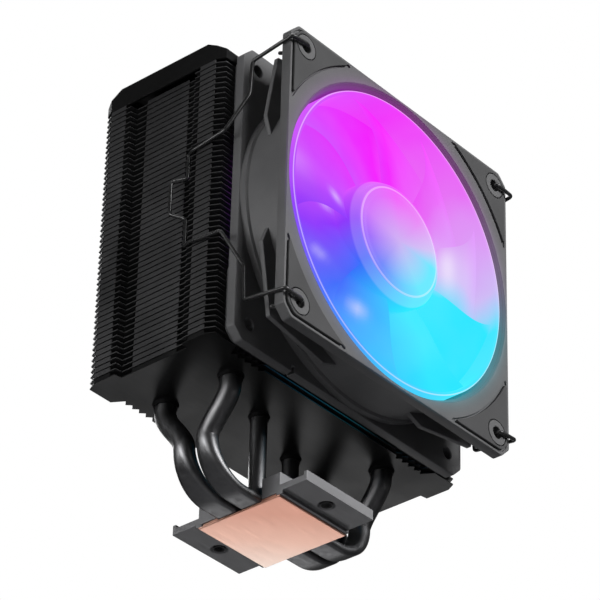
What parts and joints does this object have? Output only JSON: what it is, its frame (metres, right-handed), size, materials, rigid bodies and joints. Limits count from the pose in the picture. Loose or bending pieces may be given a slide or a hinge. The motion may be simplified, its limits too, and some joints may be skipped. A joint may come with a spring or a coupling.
{
  "type": "cpu tower cooler",
  "caption": "Tower heat sink with branched heat pipes, a stack of thin fins under a cover, a copper contact plate and a lit ring fan held by two spring wire clips.",
  "frame": {"origin": "centre of the copper contact face that meets the processor", "axes": "+Z away from the processor along the heat pipes, X across the fins, the fan is on the -Y side and blows towards +Y"},
  "size_m": [0.1358, 0.0881, 0.16],
  "materials": {
    "copper": "ground flat, satin",
    "machined_aluminium": "black nickel over a fine milled grain",
    "pipe_nickel": "black nickel, satin",
    "fin_black_gloss": "black, half gloss",
    "fin_black": "black, satin",
    "cover_black": "black, gloss with a brushed top",
    "fan_frame_plastic": "dark grey, fine moulded texture",
    "pad_rubber": "dark grey, matt",
    "bearing_bronze": "sintered bronze",
    "black_plastic": "moulded",
    "lamination_steel": "stacked sheet edges",
    "copper_wire": "enamelled winding",
    "board_green": "solder mask",
    "board_white": "white solder mask",
    "led_lens": "clear resin",
    "label_grey": "blank film label",
    "ground_steel": "ground",
    "yoke_steel": "pressed sheet",
    "magnet_black": "bonded ferrite",
    "rotor_translucent": "milky translucent",
    "cap_translucent": "milky translucent, satin",
    "blade_translucent": "milky translucent, lit from the hub",
    "spring_wire": "black coated spring wire"
  },
  "bodies": {
    "tower": {"copper_base_plate": "copper", "base_block": "machined_aluminium", "heat_pipe_front": "pipe_nickel", "heat_pipe_rear": "pipe_nickel", "centre_branch_front": "pipe_nickel", "centre_branch_rear": "pipe_nickel", "bottom_fin": "fin_black_gloss", "fin_stack": "fin_black", "top_fin": "fin_black", "pipe_collars": "fin_black_gloss", "top_cover": "cover_black", "fan_frame": "fan_frame_plastic", "front_corner_pads": "pad_rubber", "rear_corner_pads": "pad_rubber", "bearing_sleeve": "bearing_bronze", "bearing_end_plug": "black_plastic", "stator_core": "lamination_steel", "stator_coils": "copper_wire", "motor_board": "board_green", "led_ring_board": "board_white", "leds": "led_lens", "motor_label": "label_grey"},
    "rotor": {"rotor_shaft": "ground_steel", "shaft_clip": "ground_steel", "rotor_yoke": "yoke_steel", "magnet_ring": "magnet_black", "impeller_hub": "rotor_translucent", "hub_cap": "cap_translucent", "impeller_blades": "blade_translucent", "impeller_ring": "rotor_translucent"},
    "clip_left": {"wire_clip_left": "spring_wire"},
    "clip_right": {"wire_clip_right": "spring_wire"}
  },
  "joints": [
    {"name": "fan_spin", "type": "hinge", "parent": "tower", "child": "rotor", "pos_m": [0, -0.043, 0.096], "axis": [0, 1, 0], "continuous": true},
    {"name": "clip_left_swing", "type": "hinge", "parent": "tower", "child": "clip_left", "pos_m": [-0.0525, -0.0535, 0.096], "axis": [0, 0, 1], "range_deg": [0, 25]},
    {"name": "clip_right_swing", "type": "hinge", "parent": "tower", "child": "clip_right", "pos_m": [0.0525, -0.0535, 0.096], "axis": [0, 0, -1], "range_deg": [0, 25]}
  ]
}
